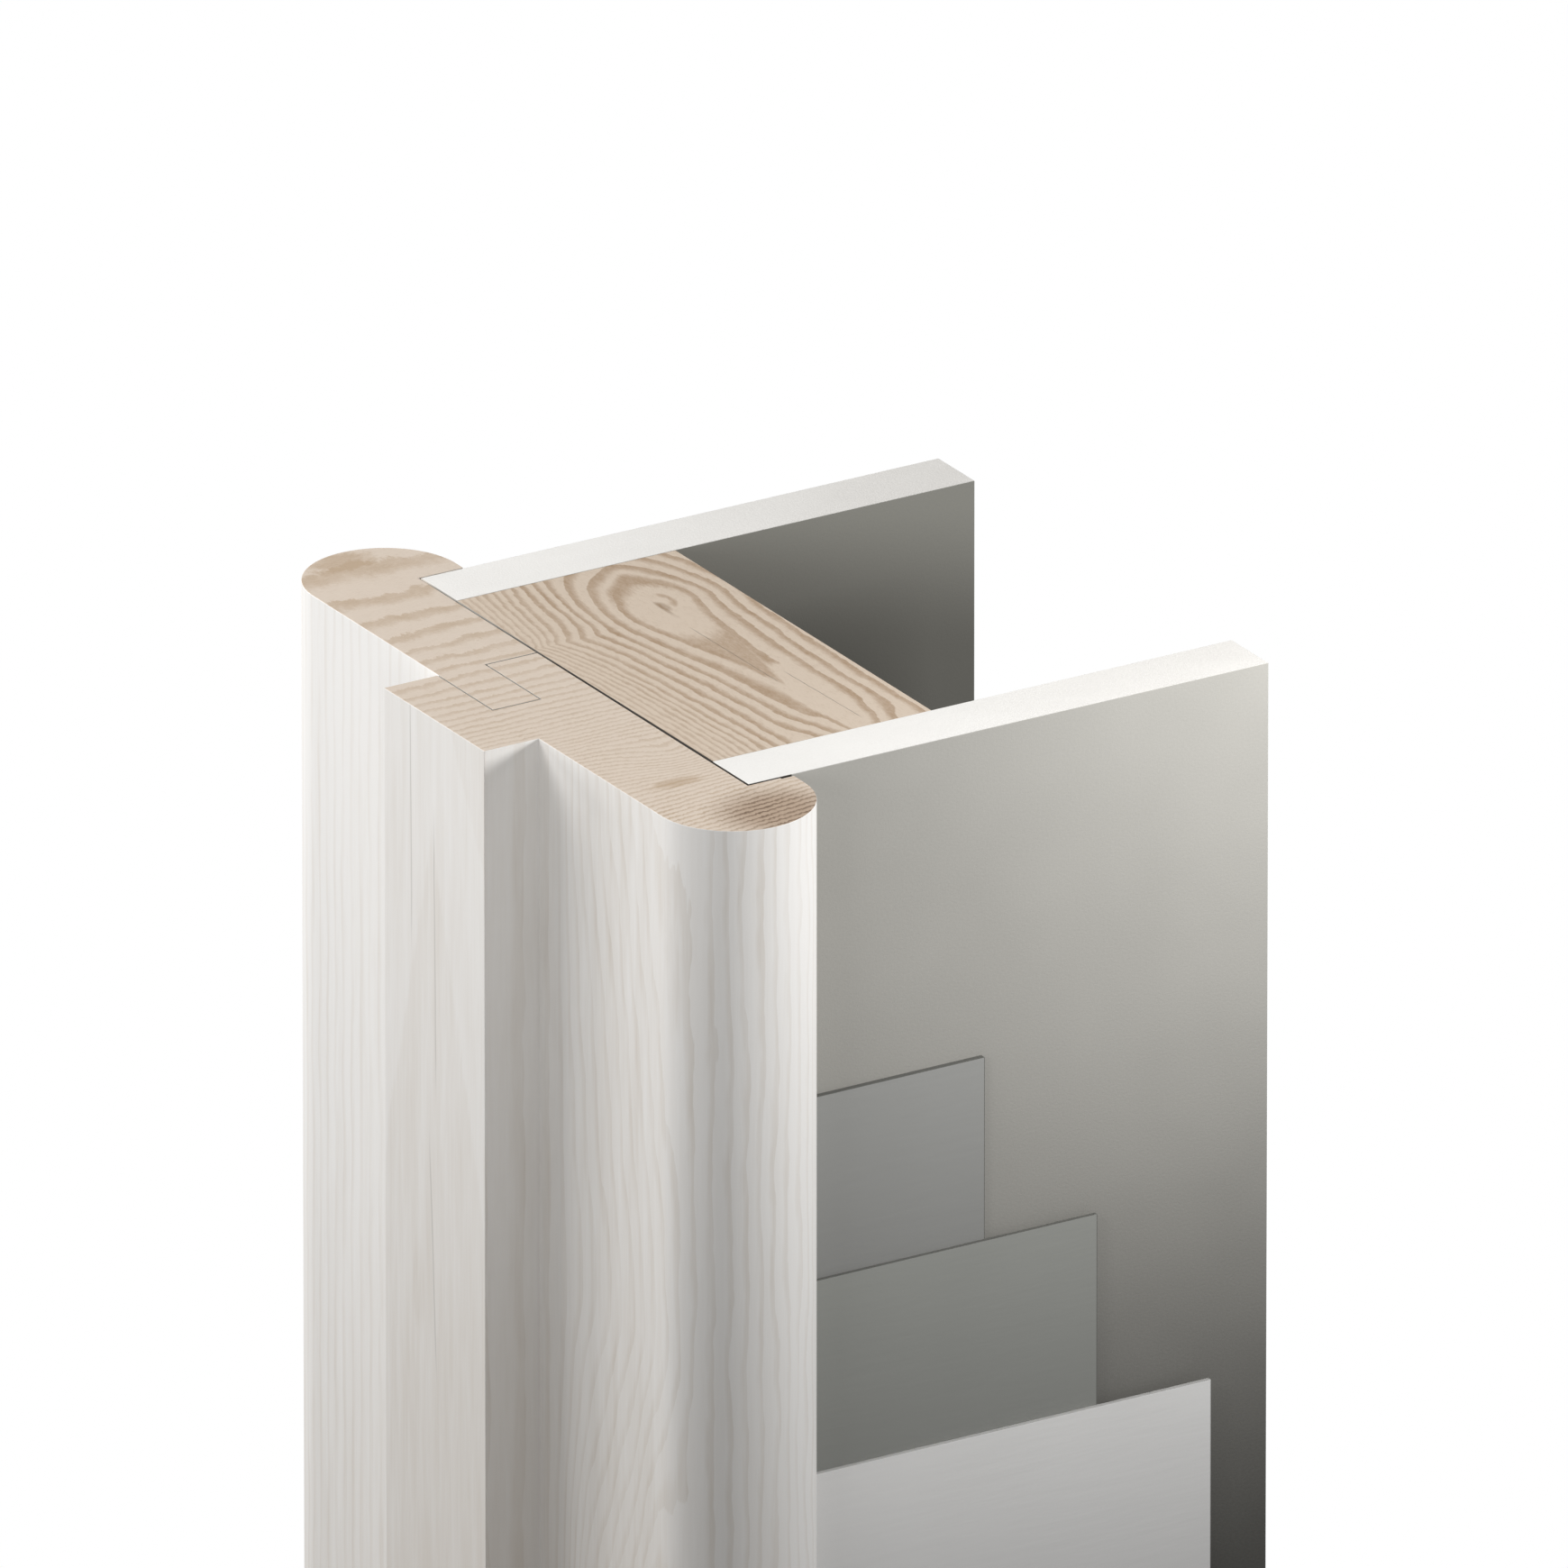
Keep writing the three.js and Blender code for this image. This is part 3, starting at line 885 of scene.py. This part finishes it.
def glowing_stage(name, bm, strength):
    """A stage piece from a bmesh, which glows white but isn't sampled as a light."""
    mesh = bpy.data.meshes.new(name)
    bm.to_mesh(mesh)
    bm.free()
    piece = bpy.data.objects.new(name, mesh)
    bpy.context.scene.collection.objects.link(piece)
    material = bpy.data.materials.new(f"{name} glow")
    material.use_nodes = True
    material.cycles.emission_sampling = "NONE"
    nodes = material.node_tree.nodes
    glow = nodes.new("ShaderNodeEmission")
    glow.inputs["Strength"].default_value = strength
    material.node_tree.links.new(glow.outputs["Emission"], nodes["Material Output"].inputs["Surface"])
    nodes.remove(nodes["Principled BSDF"])
    mesh.materials.append(material)
    return piece


class SAMPLE_OT_stage(bpy.types.Operator):
    """Sets the floor, the lights, the sky and the camera"""

    bl_idname = "sample.stage"
    bl_label = "Stage"

    def execute(self, context):
        self.make_floor(context)
        self.make_lights(context)
        self.make_camera(context)
        context.scene.view_settings.view_transform = "Standard"
        return {"FINISHED"}

    def make_floor(self, context):
        half_width = 6.0
        bm = bmesh.new()
        bmesh.ops.create_grid(bm, x_segments=1, y_segments=1, size=half_width)
        floor = glowing_stage("floor", bm, context.scene.jamb_stage.floor_glow)
        floor.visible_diffuse = False
        floor.visible_glossy = False

    def make_lights(self, context):
        stage = context.scene.jamb_stage
        # Each light has a place, an aim and a width.
        soft_light("left light", (-600, 100, 500), (-20, 60, -60), 400, stage.left_power)
        soft_light("back light", (-400, 500, 500), (-20, 100, -60), 400, stage.back_power)
        soft_light("far light", (-250, 600, 60), (-20, 120, -60), 200, stage.far_power)
        soft_light("corner light", (-140, -110, 40), (-20, 38, -60), 60, stage.corner_power)
        soft_light("right light", (150, -140, 50), (100, 0, -20), 50, stage.right_power)
        self.make_sky(context)

    def make_sky(self, context):
        """A wide dome gives the even light, and the world behind it is only the white that is seen."""
        dome_radius = 30.0
        bm = bmesh.new()
        bmesh.ops.create_icosphere(bm, subdivisions=3, radius=dome_radius)
        sky = glowing_stage("sky", bm, context.scene.jamb_stage.sky_strength)
        sky.visible_camera = False
        world = bpy.data.worlds.new("white backdrop")
        context.scene.world = world
        world.use_nodes = True
        background = world.node_tree.nodes["Background"]
        background.inputs["Color"].default_value = (1.0, 1.0, 1.0, 1.0)
        world.cycles_visibility.diffuse = False
        world.cycles_visibility.glossy = False
        world.cycles.sampling_method = "NONE"

    def make_camera(self, context):
        stage = context.scene.jamb_stage
        # Where the wall corner stands in the photograph, and how large a millimetre is there
        frame_pixels = 1740.0
        corner_pixel = Vector((830.5, 870.6))
        pixels_per_millimetre = 6.163
        lens = 1500.0
        azimuth, elevation = stage.camera_azimuth, stage.camera_elevation
        right = Vector((math.cos(azimuth), math.sin(azimuth), 0.0))
        back = Vector((math.sin(azimuth) * math.cos(elevation),
                       -math.cos(azimuth) * math.cos(elevation), math.sin(elevation)))
        up = back.cross(right)
        data = bpy.data.cameras.new("camera")
        data.lens = lens
        data.sensor_width = 36.0
        distance = lens / data.sensor_width * frame_pixels / pixels_per_millimetre * MM
        data.clip_start = distance * 0.5
        data.clip_end = distance * 2.0
        offset = (corner_pixel - Vector((frame_pixels, frame_pixels)) / 2) / pixels_per_millimetre * MM
        camera = bpy.data.objects.new("camera", data)
        context.scene.collection.objects.link(camera)
        camera.rotation_mode = "QUATERNION"
        camera.rotation_quaternion = Matrix((right, up, back)).transposed().to_quaternion()
        camera.location = WALL_CORNER - right * offset.x + up * offset.y + back * distance
        context.scene.camera = camera


class SAMPLE_PT_panel(bpy.types.Panel):
    """Lists the steps that make the sample"""

    bl_idname = "SAMPLE_PT_panel"
    bl_label = "Jamb Sample"
    bl_space_type = "VIEW_3D"
    bl_region_type = "UI"
    bl_category = "Jamb Sample"

    def draw(self, context):
        for operator in OPERATORS:
            self.layout.operator(operator.bl_idname)
        for group in (context.scene.jamb_sizes, context.scene.jamb_colours, context.scene.jamb_stage):
            box = self.layout.box()
            for name in group.__annotations__:
                box.prop(group, name)


OPERATORS = (SAMPLE_OT_jamb, SAMPLE_OT_stud, SAMPLE_OT_boards, SAMPLE_OT_layers, SAMPLE_OT_stage)
CLASSES = (SampleSizes, SampleColours, StageSettings, *OPERATORS, SAMPLE_PT_panel)


def register():
    for entry in CLASSES:
        bpy.utils.register_class(entry)
    bpy.types.Scene.jamb_sizes = PointerProperty(type=SampleSizes)
    bpy.types.Scene.jamb_colours = PointerProperty(type=SampleColours)
    bpy.types.Scene.jamb_stage = PointerProperty(type=StageSettings)


def unregister():
    del bpy.types.Scene.jamb_stage
    del bpy.types.Scene.jamb_colours
    del bpy.types.Scene.jamb_sizes
    for entry in reversed(CLASSES):
        bpy.utils.unregister_class(entry)


def main():
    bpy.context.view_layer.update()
    register()
    bpy.ops.sample.jamb()
    bpy.ops.sample.stud()
    bpy.ops.sample.boards()
    bpy.ops.sample.layers()
    bpy.ops.sample.stage()


if __name__ == "__main__":
    main()
